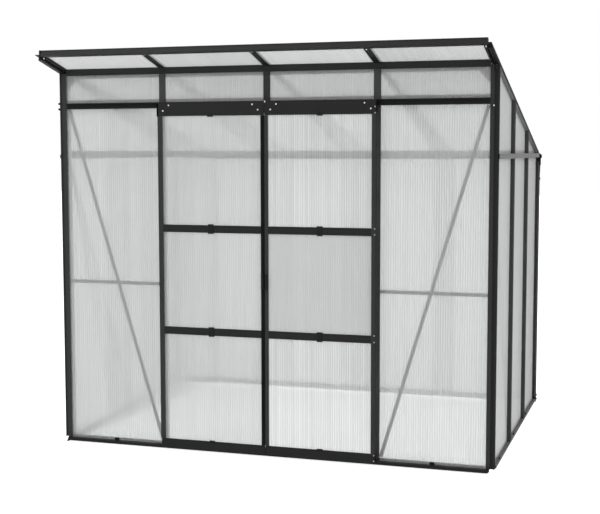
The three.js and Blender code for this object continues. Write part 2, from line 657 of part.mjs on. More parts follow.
// The frame
const frontEnd = -1;
const rearEnd = 1;
cornerPost("front_left_post", -1, frontEnd);
cornerPost("front_right_post", 1, frontEnd);
cornerPost("rear_left_post", -1, rearEnd);
cornerPost("rear_right_post", 1, rearEnd);
frontSill();
sill("rear_sill", walls.rear, -clearWidth, clearWidth);
sill("left_sill", walls.left, clearFront + sideSillGap, clearRear);
sill("right_sill", walls.right, clearFront + sideSillGap, clearRear);
frontBeam();
header();
rearBeam();
fascia();

const onSill = sillHeight + seat;
glazingBar("left_jamb", walls.front, -baySpacing, onSill, frontBeamBottom - seat, false);
glazingBar("right_jamb", walls.front, baySpacing, onSill, frontBeamBottom - seat, false);
glazingBar("centre_mullion", walls.front, 0, headerBottom, frontBeamBottom - seat, false);
const columns = { left: -baySpacing, centre: 0, right: baySpacing };
for (const [name, x] of Object.entries(columns)) {
  glazingBar(`rear_${name}_bar`, walls.rear, x, onSill, rearBeamBottom - seat, false);
  rafter(`${name}_rafter`, x);
}
for (const [name, side] of [["left", -1], ["right", 1]]) {
  const barY = (bay) => postFace / 2 + bay * sideBaySpacing;
  glazingBar(`${name}_front_bar`, walls[name], barY(1), onSill, frontRise, true);
  glazingBar(`${name}_rear_bar`, walls[name], barY(2), onSill, frontRise, true);
  sideRail(`${name}_side_rail`, walls[name]);
  gableRafter(`${name}_gable_rafter`, side);
  braces(name, side);
  sideSheet(`${name}_side_sheet`, side);
  const [start, end] = [side * clearWidth, side * baySpacing].sort((p, q) => p - q);
  wallSheet(`${name}_front_sheet`, walls.front, start, end, onSill, headerMiddle - leg / 2 - seat);
  door(`${name}_door`, side);
}
const transomTop = beamPlate(shallow.legFront) - seat;
wallSheet("transom_sheet", walls.front, -clearWidth, clearWidth, headerMiddle + leg / 2 + seat, transomTop);
wallSheet("rear_sheet", walls.rear, -clearWidth, clearWidth, onSill, rearPlate - seat);
roofSheet();

// The origin is on the ground, under the middle of the whole building from nose to gutter.
const noseY = (fasciaFront - gableNose) * Math.cos(pitch) - leg * Math.sin(pitch);
greenhouse.position.y = -(noseY + depth + gutterReach) / 2;

export default greenhouse;
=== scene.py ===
# A greenhouse with one roof slope: dark aluminium frame, twin-wall glazing and sliding front doors.
# Metres. The doors face -Y, the low rear wall with its gutter faces +Y, and +Z is up.
import json
import math

import bpy
from mathutils import Matrix, Vector


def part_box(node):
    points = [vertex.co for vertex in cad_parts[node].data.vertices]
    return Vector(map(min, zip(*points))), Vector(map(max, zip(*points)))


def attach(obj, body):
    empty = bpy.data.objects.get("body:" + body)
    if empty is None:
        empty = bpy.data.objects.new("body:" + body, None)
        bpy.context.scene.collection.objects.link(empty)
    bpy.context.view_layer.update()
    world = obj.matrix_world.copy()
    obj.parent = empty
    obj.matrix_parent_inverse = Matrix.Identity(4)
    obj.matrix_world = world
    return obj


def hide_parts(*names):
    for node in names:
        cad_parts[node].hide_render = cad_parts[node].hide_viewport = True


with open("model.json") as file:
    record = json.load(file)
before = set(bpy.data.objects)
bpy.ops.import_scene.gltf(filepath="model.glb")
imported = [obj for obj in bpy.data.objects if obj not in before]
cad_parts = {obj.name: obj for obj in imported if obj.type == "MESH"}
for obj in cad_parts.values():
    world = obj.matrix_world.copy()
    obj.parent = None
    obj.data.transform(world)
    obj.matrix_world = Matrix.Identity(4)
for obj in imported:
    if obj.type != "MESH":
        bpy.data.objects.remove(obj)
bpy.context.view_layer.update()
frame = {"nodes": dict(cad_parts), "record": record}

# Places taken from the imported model
WALL_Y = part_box("left_jamb")[0].y  # outer face of the front wall
REAR_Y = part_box("rear_left_bar")[1].y  # outer face of the rear wall
SIDE_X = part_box("right_front_bar")[1].x  # outer face of the right wall
BAY = -(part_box("left_jamb")[0].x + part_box("left_jamb")[1].x) / 2  # centre to centre of the bays
DOOR_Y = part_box("left_door_outer_stile")[0].y  # front face of the doors
FLANK_X = SIDE_X - 0.0003  # just inside the side walls' outer faces

# The roof
FALL = 0.5  # from the front wall's outer face to the rear wall's
PITCH = math.atan2(FALL, REAR_Y - WALL_Y)
ROOF_UP = Vector((0, math.sin(PITCH), math.cos(PITCH)))  # square to the roof
SEAT_Z = 2.208  # seat of the roof above the front wall's outer face

# Sizes that several pieces share
SIDES = (("left", -1), ("right", 1))
BAYS = (-BAY, 0, BAY)  # middles of the bars and rafters between the bays
BAR_HALF = 0.0125  # half the width of those bars and rafters
POST_IN = 1.243  # inner faces of the posts
CAP_X = (1.2888, 1.2947)  # faces of the black caps outside the side walls
PANE_GAP = 0.002  # between neighbouring panes
FLUTE = 0.0132  # from rib to rib of the twin-wall sheet
FINE_EDGE = 0.0006  # rounding of the edges of panes and thin strips
EDGE = 0.001  # rounding of the edges of small plastic pieces
TOUCH = 0.0002  # between a fitting and the face that it lies on


# Modelling helpers


def pick(*pieces):
    bpy.ops.object.select_all(action="DESELECT")
    for piece in pieces:
        piece.select_set(True)
    bpy.context.view_layer.objects.active = pieces[0]


def named(piece, name):
    piece.name = name
    piece.data.name = name
    return piece


def settle(piece):
    """Put the piece's place into its mesh."""
    pick(piece)
    bpy.ops.object.transform_apply(location=True, rotation=True, scale=True)
    return piece


def block(name, low, high):
    """A closed block between two corners."""
    low, high = Vector(low), Vector(high)
    bpy.ops.object.select_all(action="DESELECT")
    bpy.ops.mesh.primitive_cube_add(size=1, location=(low + high) / 2)
    piece = named(bpy.context.object, name)
    piece.scale = high - low
    return settle(piece)


def bevelled(piece, width, segments=2, angle=30):
    pick(piece)
    bevel = piece.modifiers.new("edges", "BEVEL")
    bevel.width = width
    bevel.segments = segments
    bevel.limit_method = "ANGLE"
    bevel.angle_limit = math.radians(angle)
    bpy.ops.object.modifier_apply(modifier=bevel.name)
    return piece


def cut(piece, point, normal):
    """Cut the piece by a plane, drop what lies on the normal's side and close the cut."""
    pick(piece)
    bpy.ops.object.mode_set(mode="EDIT")
    bpy.ops.mesh.select_all(action="SELECT")
    bpy.ops.mesh.bisect(plane_co=point, plane_no=normal, use_fill=True, clear_outer=True)
    bpy.ops.object.mode_set(mode="OBJECT")
    return piece


def copy_of(piece, name, offset):
    pick(piece)
    bpy.ops.object.duplicate(linked=False)
    twin = named(bpy.context.object, name)
    bpy.ops.transform.translate(value=offset)
    return settle(twin)


def joined(name, pieces):
    pick(*pieces)
    if len(pieces) > 1:
        bpy.ops.object.join()
    return named(bpy.context.object, name)


def at(x, y, z):
    """A point given from the front wall's outer face."""
    return Vector((x, WALL_Y + y, z))


def wall_block(name, x, y, z, edge=0.0, segments=2):
    """A block between pairs of x, y and z, with y from the front wall's outer face."""
    low, high = (at(*corner) for corner in zip(*(sorted(pair) for pair in (x, y, z))))
    piece = block(name, low, high)
    return bevelled(piece, edge, segments) if edge else piece


def door_block(name, x, y, z, edge, segments=2):
    """A block between pairs of x, y and z, with y from the doors' front face."""
    hung = DOOR_Y - WALL_Y
    return wall_block(name, x, [hung + value for value in y], z, edge, segments)


def on_slope(piece):
    """Turn a piece that was laid level to the roof's slope, about the front wall's top edge."""
    piece.rotation_euler.x = -PITCH
    piece.location = at(0, 0, SEAT_Z)
    return settle(piece)


def slope_block(name, x, y, w, edge=0.0):
    """A block in the roof's slope, between pairs of x, level y and height above the seat."""
    run = [(value - sum(w) / 2 * math.sin(PITCH)) / math.cos(PITCH) for value in y]
    piece = block(name, (min(x), min(run), min(w)), (max(x), max(run), max(w)))
    if edge:
        bevelled(piece, edge)
    return on_slope(piece)


def upright_plate(name, corners, y0, y1):
    """An upright plate across the front. Its corners are pairs of x and z, and the block round
    them is cut along each side that isn't upright or level."""
    xs, zs = zip(*corners)
    piece = wall_block(name, (min(xs), max(xs)), (y0, y1), (min(zs), max(zs)))
    middle = Vector((sum(xs) / len(xs), 0, sum(zs) / len(zs)))
    for (xa, za), (xb, zb) in zip(corners, corners[1:] + corners[:1]):
        if xa == xb or za == zb:
            continue
        normal = Vector((zb - za, 0, xa - xb))
        if normal.dot(middle - Vector((xa, 0, za))) > 0:
            normal = -normal
        cut(piece, at(xa, y0, za), normal)
    return piece


def rod(name, place, radius, height, axis, edge):
    """A short round piece along an axis, with its middle at the place."""
    turns = {"X": (0, math.pi / 2, 0), "Y": (math.pi / 2, 0, 0)}
    bpy.ops.object.select_all(action="DESELECT")
    bpy.ops.mesh.primitive_cylinder_add(vertices=20, radius=radius, depth=height, location=place,
                                        rotation=turns[axis])
    piece = settle(named(bpy.context.object, name))
    return bevelled(piece, edge, angle=60)


def screw_head(name, place, radius=0.0042, height=0.0022):
    """A domed screw head that faces -Y."""
    return rod(name, place, radius, height, "Y", height * 0.45)


def finished(piece, material, body):
    """Give a piece its finish, the slot that the finish stands for, and the body it rides on."""
    piece.data.materials.clear()
    piece.data.materials.append(material)
    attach(piece, body)
    return piece


# Materials


class Nodes:
    """A short way to add and link the nodes of a material or a world."""

    def __init__(self, name, kind="Material"):
        owners = {"Material": bpy.data.materials, "World": bpy.data.worlds}
        self.owner = owners[kind].new(name)
        self.owner.use_nodes = True
        self.tree = self.owner.node_tree
        self.tree.nodes.clear()
        self.output = self.add("Output" + kind)

    def add(self, kind, inputs=None, **settings):
        node = self.tree.nodes.new("ShaderNode" + kind)
        for key, value in settings.items():
            setattr(node, key, value)
        for key, value in (inputs or {}).items():
            if isinstance(value, bpy.types.NodeSocket):
                self.tree.links.new(value, node.inputs[key])
            else:
                node.inputs[key].default_value = value
        return node

    def math(self, operation, a, b=0.0):
        return self.add("Math", {0: a, 1: b}, operation=operation).outputs[0]

    def place(self):
        return self.add("TexCoord").outputs["Object"]

    def noise(self, scale, detail=3.0, vector=None, roughness=0.5):
        inputs = {"Scale": scale, "Detail": detail, "Roughness": roughness}
        inputs["Vector"] = vector if vector is not None else self.place()
        return self.add("TexNoise", inputs).outputs["Fac"]

    def spread(self, value, low, high):
        """A value from 0 to 1 spread between two others."""
        inputs = {"Value": value, "To Min": low, "To Max": high}
        return self.add("MapRange", inputs).outputs["Result"]

    def beyond(self, edge, axis="X"):
        """One where the place lies farther than the edge from the middle, on either side."""
        value = self.add("SeparateXYZ", {0: self.place()}).outputs[axis]
        return self.math("GREATER_THAN", self.math("ABSOLUTE", value), edge)

    def most(self, first, *others):
        """The greatest of several values."""
        for other in others:
            first = self.math("MAXIMUM", first, other)
        return first

    def seen(self):
        """One for the rays that show a thing itself, or show it in gloss or through glass."""
        path = self.add("LightPath").outputs
        return self.most(*(path[f"Is {ray} Ray"] for ray in ("Camera", "Glossy", "Transmission")))

    def grey(self, shade):
        return self.add("CombineColor", {"Red": shade, "Green": shade, "Blue": shade}).outputs[0]

    def shaded(self, colour, shade):
        """A colour multiplied by a shade."""
        return self.add("VectorMath", {0: colour, "Scale": shade}, operation="SCALE").outputs[0]

    def bump(self, height, strength, distance):
        inputs = {"Strength": strength, "Distance": distance, "Height": height}
        return self.add("Bump", inputs).outputs[0]

    def finish(self, shader):
        self.tree.links.new(shader, self.output.inputs["Surface"])
        return self.owner


def powder_coat(name, colour, roughness, zones=(), painted_light=None, lip=1.0, gloss=0.13):
    """Satin powder coat: a fine orange-peel surface, with faint cloudiness in shade and gloss.
    Zones are (x, shade, roughness): past that |x| the shade is multiplied, painting shade or light
    on a part's outer faces, and the roughness grows.
    The fourth argument is (x, y, shade): where |x| and |y| are both less, the coat has that other
    shade, which is painted light.
    Lip multiplies the shade under the gable rafters' outer lip, behind the front wall: painted
    light."""
    n = Nodes(name)
    cloud = n.noise(5.0, 2.0)
    speckle = n.noise(700.0, 2.0)
    shade = n.math("ADD", n.spread(cloud, 0.88, 1.12), n.spread(speckle, -0.12, 0.12))
    rough = n.spread(n.noise(24.0), roughness - 0.06, roughness + 0.08)
    # Painted shade or painted light on the faces past each zone's |x|.
    for edge, factor, rougher in zones:
        past = n.beyond(edge)
        shade = n.math("MULTIPLY", shade, n.spread(past, 1.0, factor))
        rough = n.math("ADD", rough, n.spread(past, 0.0, rougher))
    # Painted light: a paler shade where |x| and |y| both lie within the fourth argument.
    if painted_light:
        outside_painted_light = n.most(n.beyond(painted_light[0]), n.beyond(painted_light[1], "Y"))
        shade = n.math("MULTIPLY", shade, n.spread(outside_painted_light, painted_light[2] / colour[0], 1.0))
    # Painted light under the gable rafters' outer lip.
    if lip != 1:
        shade = n.math("MULTIPLY", shade, n.spread(under_lip(n), 1.0, lip))
    peel = n.noise(1400.0, 3.0)
    shader = n.add(
        "BsdfPrincipled",
        {
            "Base Color": n.shaded(colour, shade),
            "Roughness": rough,
            "Specular IOR Level": gloss,
            "Normal": n.bump(peel, 0.12, 0.0004),
        },
    )
    return n.finish(shader.outputs[0])


def under_lip(n):
    """One on the underside of the gable rafters' outer lip, from just behind the front wall: where
    painted light goes.
    """
    lip_x, lip_drop, start = 1.2672, 0.0195, 0.02
    height = n.add("VectorMath", {0: n.place(), 1: ROOF_UP}, operation="DOT_PRODUCT")
    bottom = at(0, 0, SEAT_Z).dot(ROOF_UP) - lip_drop
    below = n.math("LESS_THAN", height.outputs["Value"], bottom)
    outer = n.math("SUBTRACT", n.beyond(lip_x), n.beyond(FLANK_X))
    depth = n.add("SeparateXYZ", {0: n.place()}).outputs["Y"]
    behind = n.math("GREATER_THAN", depth, WALL_Y + start)
    return n.math("MULTIPLY", n.math("MULTIPLY", below, outer), behind)


def moulded_plastic(name, colour=(0.012, 0.012, 0.013), gloss=0.15):
    """Moulded plastic with a fine matt grain, black unless it gets another colour."""
    n = Nodes(name)
    grain = n.noise(2200.0, 2.0)
    shader = n.add(
        "BsdfPrincipled",
        {
            "Base Color": n.shaded(colour, n.spread(n.noise(60.0), 0.8, 1.25)),
            "Roughness": n.spread(grain, 0.55, 0.75),
            "Specular IOR Level": gloss,
            "Normal": n.bump(grain, 0.2, 0.0002),
        },
    )
    return n.finish(shader.outputs[0])


def plated_steel(name):
    """Bright zinc-plated steel with faint turning marks."""
    n = Nodes(name)
    marks = n.noise(900.0, 4.0)
    shader = n.add(
        "BsdfPrincipled",
        {
            "Base Color": n.grey(n.spread(n.noise(120.0), 0.72, 0.86)),
            "Metallic": 0.9,
            "Roughness": n.spread(marks, 0.22, 0.4),
            "Normal": n.bump(marks, 0.15, 0.0002),
        },
    )
    return n.finish(shader.outputs[0])


def galvanised(name, pale):
    """Dull galvanised sheet: a mottled spangle over a faint grain."""
    n = Nodes(name)
    cells = n.add("TexVoronoi", {"Vector": n.place(), "Scale": 90.0}).outputs["Distance"]
    spangle = n.spread(cells, pale * 0.92, pale * 1.08)
    shader = n.add(
        "BsdfPrincipled",
        {
            "Base Color": n.grey(n.math("ADD", spangle, n.spread(n.noise(12.0), -0.03, 0.03))),
            "Roughness": n.spread(cells, 0.4, 0.6),
            "Specular IOR Level": 0.3,
            "Normal": n.bump(n.noise(900.0), 0.1, 0.0002),
        },
    )
    return n.finish(shader.outputs[0])


def twin_wall(name, across, pale, stripes, clear):
    """Twin-wall sheet whose flutes are counted along one axis. Its skins are milky and pale, each
    flute bends what lies behind to the side, and stripes says how much the ribs differ in shade.
    Clear is the share of the light that one skin lets straight through."""
    n = Nodes(name)
    axis = n.add("SeparateXYZ", {0: n.place()}).outputs[across]
    rib = n.math("SINE", n.math("MULTIPLY", axis, 2 * math.pi / FLUTE))
    step = n.math("FLOOR", n.math("MULTIPLY", axis, 1 / FLUTE))
    odd = n.add("TexWhiteNoise", {"W": step}, noise_dimensions="1D").outputs["Value"]
    broad = n.add("TexNoise", {"W": axis, "Scale": 9.0}, noise_dimensions="1D").outputs["Fac"]
    ribbed = n.math("MULTIPLY", rib, stripes)
    uneven = n.spread(odd, -stripes * 0.8, stripes * 0.8)
    drift = n.spread(broad, -0.04, 0.04)
    shade = n.math("ADD", n.math("ADD", ribbed, uneven), n.math("ADD", drift, 1.0))
    shade = n.math("MULTIPLY", shade, pale)
    tint = n.add(
        "CombineColor",
        {
            "Red": n.math("MULTIPLY", shade, 0.993),
            "Green": shade,
            "Blue": n.math("MULTIPLY", shade, 0.996),
        },
    ).outputs[0]
    face = n.add(
        "BsdfPrincipled",
        {"Base Color": tint, "Roughness": 0.3, "Specular IOR Level": 0.35},
    )
    glow = n.add("BsdfTranslucent", {"Color": tint})
    milky = n.add("MixShader", {0: 0.5, 1: face.outputs[0], 2: glow.outputs[0]})
    bent = n.add(
        "BsdfRefraction",
        {
            "Color": (0.973, 0.98, 0.976, 1),
            "Roughness": 0.0,
            "IOR": 1.12,
            "Normal": n.bump(rib, 0.9, 0.0012),
        },
    )
    plain = n.add("BsdfTransparent", {"Color": (0.953, 0.96, 0.956, 1)})
    shadow = n.add("LightPath").outputs["Is Shadow Ray"]
    through = n.add("MixShader", {0: shadow, 1: bent.outputs[0], 2: plain.outputs[0]})
    whole = n.add("MixShader", {0: clear, 1: milky.outputs[0], 2: through.outputs[0]})
    return n.finish(whole.outputs[0])


FRAME_COAT = powder_coat("anthracite coat", (0.0115, 0.0118, 0.0118), 0.46)
BEAM_COAT = powder_coat("anthracite beam coat", (0.0185, 0.0188, 0.0188), 0.46)
BRACE_COAT = powder_coat("anthracite brace coat", (0.045, 0.0455, 0.0455), 0.46)
# Painted shade: the left meeting stile is coated near black, darker than the other stiles, where it
# lies in shade.
SHADED_LEFT_STILE_COAT = powder_coat("shaded stile coat", (0.0035, 0.0036, 0.0036), 0.5, gloss=0.07)
STILE_COAT = powder_coat("anthracite stile coat", (0.027, 0.0273, 0.0273), 0.44)
# Painted light on the front sill's faces from the wall's face inward, where they are seen through
# the panes.
FRONT_SILL_COAT = powder_coat("anthracite front sill coat", (0.0115, 0.0118, 0.0118), 0.46,
                              painted_light=(1.2440, -WALL_Y + 0.0002, 0.07))
HEADER_COAT = powder_coat("anthracite header coat", (0.010, 0.0102, 0.0102), 0.46)
# Painted shade on the left posts' outer side faces and painted light on their inner flanks.
POST_COAT = powder_coat("anthracite post coat", (0.03, 0.0305, 0.0305), 0.46,
                        [(FLANK_X, 0.25, 0.3)], painted_light=(1.2438, 9, 0.25))
# Painted shade on the outer strip of the right posts' front faces and, deeper, on their outer side
# faces.
RIGHT_POST_COAT = powder_coat("anthracite right post coat", (0.026, 0.0264, 0.0264), 0.46,
                              [(1.2645, 0.55, 0.0), (FLANK_X, 0.45, 0.3)])
BAR_COAT = powder_coat("anthracite bar coat", (0.03, 0.0305, 0.0305), 0.46)
# Paler than the bars: painted light that offsets the doors' shade on the jambs.
JAMB_COAT = powder_coat("anthracite jamb coat", (0.05, 0.0507, 0.0507), 0.46)
# Paler than the front bars, as painted light on their flanks, with painted shade on their outer
# faces.
SIDE_BAR_COAT = powder_coat("anthracite side bar coat", (0.045, 0.0455, 0.0455), 0.46,
                            [(FLANK_X, 0.2, 0.3)])
# Painted shade on the gable rafters' outer faces, and painted light under their outer lip.
GABLE_COAT = powder_coat("anthracite gable coat", (0.0115, 0.0118, 0.0118), 0.46,
                         [(FLANK_X, 0.4, 0.3)], lip=15.0)
# Painted light on the sills: paler tops and outer faces, and near-white inner faces.
SILL_COAT = powder_coat("sill coat with bare inner faces", (0.03, 0.0305, 0.0305), 0.42,
                        [(1.2612, 3.6, 0.0), (FLANK_X, 0.4, 0.0)],
                        painted_light=(1.2610, REAR_Y - 0.0275, 0.5))
DOOR_COAT = powder_coat("anthracite door coat", (0.0125, 0.0128, 0.0128), 0.44)
FASCIA_COAT = powder_coat("anthracite fascia coat", (0.0175, 0.0178, 0.0178), 0.46)
# Far paler than the rest of the anthracite frame: painted reflection of the bright surroundings on
# the side rails.
RAIL_COAT = powder_coat("anthracite side rail coat", (0.068, 0.069, 0.069), 0.4)
NYLON = moulded_plastic("roller nylon")
CLIP_PLASTIC = moulded_plastic("clip plastic", (0.008, 0.008, 0.0085))
CAP_PLASTIC = moulded_plastic("cap plastic", (0.005, 0.005, 0.005), 0.0)
SEAL_RUBBER = moulded_plastic("seal rubber", (0.006, 0.006, 0.006), 0.05)
ZINC = plated_steel("zinc plate")
GALVANISED = galvanised("galvanised sheet", 0.13)
DULL_ZINC = galvanised("dull zinc", 0.3)
# White caps on screw heads and the door stop; their white also stands in for the glint of zinc, a
# painted highlight.
WHITE_GLINT_CAP = moulded_plastic("white screw cap", (0.85, 0.85, 0.84))
# The pale line beside each rafter's black seal is a painted highlight; the strip on the rafter's
# right is a pale seal strip.
PALE_STRIP_AND_HIGHLIGHT = galvanised("pale strip", 0.5)

# For each sheet: the axis its flutes are counted along, pale, stripes and clear. Pale and clear are
# set sheet by sheet, with painted reflection on the doors' panes and painted shade on the roof's,
# most on the right-hand panes.
SHEET = {
    "left fixed": twin_wall("left fixed sheet", "X", 0.825, 0.03, 0.63),
    "right fixed": twin_wall("right fixed sheet", "X", 0.865, 0.03, 0.67),
    "door pale": twin_wall("pale door sheet", "X", 0.89, 0.09, 0.69),
    "door plain": twin_wall("plain door sheet", "X", 0.73, 0.02, 0.45),
    "left door": twin_wall("left door sheet", "X", 0.79, 0.02, 0.63),
    "transom": twin_wall("transom sheet", "X", 0.765, 0.03, 0.5),
    "rear": twin_wall("rear sheet", "X", 0.84, 0.03, 0.4),
    "side front": twin_wall("front side sheet", "Y", 0.785, 0.05, 0.45),
    "side middle": twin_wall("middle side sheet", "Y", 0.755, 0.07, 0.45),
    "side rear": twin_wall("rear side sheet", "Y", 0.735, 0.07, 0.45),
    "roof 1": twin_wall("first roof sheet", "X", 0.86, 0.04, 0.45),
    "roof 2": twin_wall("second roof sheet", "X", 0.80, 0.04, 0.45),
    "roof 3": twin_wall("third roof sheet", "X", 0.84, 0.04, 0.45),
    "roof 4": twin_wall("fourth roof sheet", "X", 0.74, 0.04, 0.45),
}

# By a node's own name first, then by the slot that its finish comes from
COATS = {
    "front_left_post": POST_COAT,
    "rear_left_post": POST_COAT,
    "front_right_post": RIGHT_POST_COAT,
    "rear_right_post": RIGHT_POST_COAT,
    "left_front_bar": SIDE_BAR_COAT,
    "left_rear_bar": SIDE_BAR_COAT,
    "right_front_bar": SIDE_BAR_COAT,
    "right_rear_bar": SIDE_BAR_COAT,
    "left_gable_rafter": GABLE_COAT,
    "right_gable_rafter": GABLE_COAT,
    "left_door_inner_stile": SHADED_LEFT_STILE_COAT,
    "right_door_inner_stile": STILE_COAT,
    "left_door_outer_stile": STILE_COAT,
    "right_door_outer_stile": STILE_COAT,
    "left_jamb": JAMB_COAT,
    "right_jamb": JAMB_COAT,
    "front_sill": FRONT_SILL_COAT,
    "front_beam": BEAM_COAT,
    "header_rail": HEADER_COAT,
    "sill": SILL_COAT,
    "glazing_bar": BAR_COAT,
    "beam": FRAME_COAT,
    "gutter_beam": FRAME_COAT,
    "rafter": FRAME_COAT,
    "fascia": FASCIA_COAT,
    "side_rail": RAIL_COAT,
    "brace": BRACE_COAT,
    "door_frame": DOOR_COAT,
    "roller": NYLON,
}


def coat_frame():
    """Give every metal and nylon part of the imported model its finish, by its name or its slot."""
    for part in frame["record"]["subparts"]:
        finish = COATS.get(part["node"], COATS.get(part["material_slot"]))
        if finish is None:
            continue
        node = frame["nodes"][part["node"]]
        node.data.materials.clear()
        node.data.materials.append(finish)


# Glazing


def spans(low, high, joints, half=PANE_GAP / 2):
    """The stretches from low to high, parted at each joint by a gap that is twice the half."""
    starts = [low] + [joint + half for joint in joints]
    ends = [joint - half for joint in joints] + [high]
    return list(zip(starts, ends))


def pane(name, low, high, finish, node, body="frame", top=None):
    """A pane that stands for a sheet or a part of it. Top is a point of its edge under the roof,
    where a side pane is cut along the slope."""
    piece = block(name, low, high)
    if top:
        cut(piece, top, ROOF_UP)
    bevelled(piece, FINE_EDGE, 1)
    finished(piece, SHEET[finish], body)
    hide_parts(node)


def wall_panes(wall):
    """Part the sheet of the transoms or the rear wall into one pane a bay."""
    node = f"{wall}_sheet"
    low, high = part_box(node)
    for i, (x0, x1) in enumerate(spans(low.x, high.x, BAYS), 1):
        pane(f"{wall}_pane_{i}", (x0, low.y, low.z), (x1, high.y, high.z), wall, node)


def fixed_panes():
    for side, _ in SIDES:
        node = f"{side}_front_sheet"
        low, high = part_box(node)
        pane(f"{side}_fixed_pane", low, high, f"{side} fixed", node)


def side_panes():
    for side, _ in SIDES:
        node = f"{side}_side_sheet"
        low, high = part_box(node)
        bars = [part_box(f"{side}_{place}_bar") for place in ("front", "rear")]
        ends = spans(low.y, high.y, [(bar[0].y + bar[1].y) / 2 for bar in bars])
        for place, (y0, y1) in zip(("front", "middle", "rear"), ends):
            pane(f"{side}_{place}_side_pane", (low.x, y0, low.z), (high.x, y1, high.z),
                 f"side {place}", node, top=(0, low.y, high.z))


def roof_panes():
    """Panes on the slope: each is laid level, then turned about the front wall's top edge."""
    low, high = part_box("roof_sheet")
    under, over = 0.0073, 0.0133  # the sheet's faces above the seat
    start = (low.y - WALL_Y - under * math.sin(PITCH)) / math.cos(PITCH)
    end = (high.y - WALL_Y - over * math.sin(PITCH)) / math.cos(PITCH)
    for i, (x0, x1) in enumerate(spans(low.x, high.x, BAYS), 1):
        piece = block(f"roof_pane_{i}", (x0, start, under), (x1, end, over))
        bevelled(piece, FINE_EDGE, 1)
        on_slope(piece)
        finished(piece, SHEET[f"roof {i}"], "frame")
        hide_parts("roof_sheet")


def door_panes():
    """Three panes a door, from its foot up, parted behind the two middle rails."""
    finishes = {
        "left": ("left door", "left door", "left door"),
        # Painted reflection: the right door's top and bottom panes are paler and more striped than
        # its middle one.
        "right": ("door pale", "door plain", "door pale"),
    }
    for side, rows in finishes.items():
        door = f"{side}_door"
        low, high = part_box(f"{door}_sheet")
        rails = [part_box(f"{door}_{place}_rail") for place in ("lower", "upper")]
        ends = spans(low.z, high.z, [(rail[0].z + rail[1].z) / 2 for rail in rails])
        for place, finish, (z0, z1) in zip(("bottom", "middle", "top"), rows, ends):
            pane(f"{door}_{place}_pane", (low.x, low.y, z0), (high.x, high.y, z1),
                 finish, f"{door}_sheet", door)


# Fittings of the doors


def door_screws():
    """Screws at the top corners of both doors, and down the right door's outer stile."""
    proud = 0.0008  # from the doors' face to the middle of a head
    corners = [(0.609, 1.962), (0.574, 1.993), (0.070, 1.993), (0.037, 1.963)]
    stile = [(0.633, z) for z in (1.972, 1.939, 1.313, 1.281, 0.727, 0.691, 0.061, 0.029)]
    rows = [("left", "door_screws", -1, corners, ZINC),
            ("right", "door_screws", 1, corners, ZINC),
            ("right", "door_stile_screws", 1, stile, DULL_ZINC)]
    for side, label, sign, spots, metal in rows:
        places = [Vector((sign * x, DOOR_Y - proud, z)) for x, z in spots]
        heads = [screw_head("screw", places[0])]
        heads += [copy_of(heads[0], "screw", place - places[0]) for place in places[1:]]
        finished(joined(f"{side}_{label}", heads), metal, f"{side}_door")


def door_clips():
    """Rounded clips over the rails, in the middle of each door. They reach past a rail's edge on
    the side where a pane meets it, and stop short of the edge on the other."""
    middle, half = 0.322, 0.017
    proud, sunk = 0.003, 0.004
    past, reach = 0.006, 0.012
    rails = (("top", False, True), ("upper", True, True),
             ("lower", True, True), ("bottom", True, False))
    for side, sign in SIDES:
        x = (sign * middle - half, sign * middle + half)
        clips = []
        for rail, above, below in rails:
            low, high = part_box(f"{side}_door_{rail}_rail")
            bottom = low.z - past if below else high.z - reach
            top = high.z + past if above else low.z + reach
            clips.append(door_block("clip", x, (-proud, sunk), (bottom, top), proud * 0.8, 3))
        finished(joined(f"{side}_door_clips", clips), CLIP_PLASTIC, f"{side}_door")


def handles():
    """A low rounded grip on each meeting stile, at waist height."""
    for side, sign in SIDES:
        grip = door_block(f"{side}_door_handle", (sign * 0.0035, sign * 0.0195), (-0.012, -0.0015),
                          (0.957, 1.047), 0.004, 3)
        finished(grip, CLIP_PLASTIC, f"{side}_door")


def meeting_seal():
    """A rubber strip down the left door's meeting stile; with the stile's near-black coat it also
    stands for the shade on that stile, a painted shade.
    """
    low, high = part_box("left_door_inner_stile")
    strip = door_block("meeting_seal", (-0.0192, -0.0038), (0.0014, 0.0036),
                       (low.z + 0.002, high.z - 0.002), EDGE)
    finished(strip, SEAL_RUBBER, "left_door")


def door_stop():
    """A small pale stop at the meeting end of the right door's top rail; its pale colour is also a
    painted highlight.
    """
    stop = door_block("door_stop", (0.0017, 0.0078), (-0.0025, -TOUCH), (2.0025, 2.0125), 0.0008)
    finished(stop, WHITE_GLINT_CAP, "right_door")


# Trim and fittings of the frame


def rear_closure():
    """Strips between the rear panes' tops and the roof, bay by bay."""
    for i, x in enumerate(spans(-POST_IN, POST_IN, BAYS, BAR_HALF), 1):
        parts = [wall_block("closure", x, (1.944, 1.952), (1.700, 1.723), 0.0008),
                 slope_block("closure", x, (1.906, 1.9435), (0.005, 0.0071))]
        finished(joined(f"rear_closure_{i}", parts), GALVANISED, "frame")


def eave_strips():
    """A strip inside each side wall behind the side rail, cut off under the roof."""
    below_seat = 0.0103
    for side, sign in SIDES:
        strip = wall_block(f"{side}_eave_strip", (sign * 1.2546, sign * 1.2576), (0.0455, 1.9375),
                           (1.692, 1.735))
        cut(strip, at(0, 0, SEAT_Z) - ROOF_UP * below_seat, ROOF_UP)
        bevelled(strip, FINE_EDGE, 1)
        finished(strip, FRAME_COAT, "frame")


def gussets():
    """Three-cornered plates behind the front wall's top corners."""
    inner, outer, bottom, top = 1.165, 1.2431, 2.0875, 2.172
    for side, sign in SIDES:
        corners = [(sign * inner, top), (sign * outer, top), (sign * outer, bottom)]
        plate = upright_plate(f"{side}_gusset", corners, 0.0160, 0.0180)
        finished(plate, BRACE_COAT, "frame")


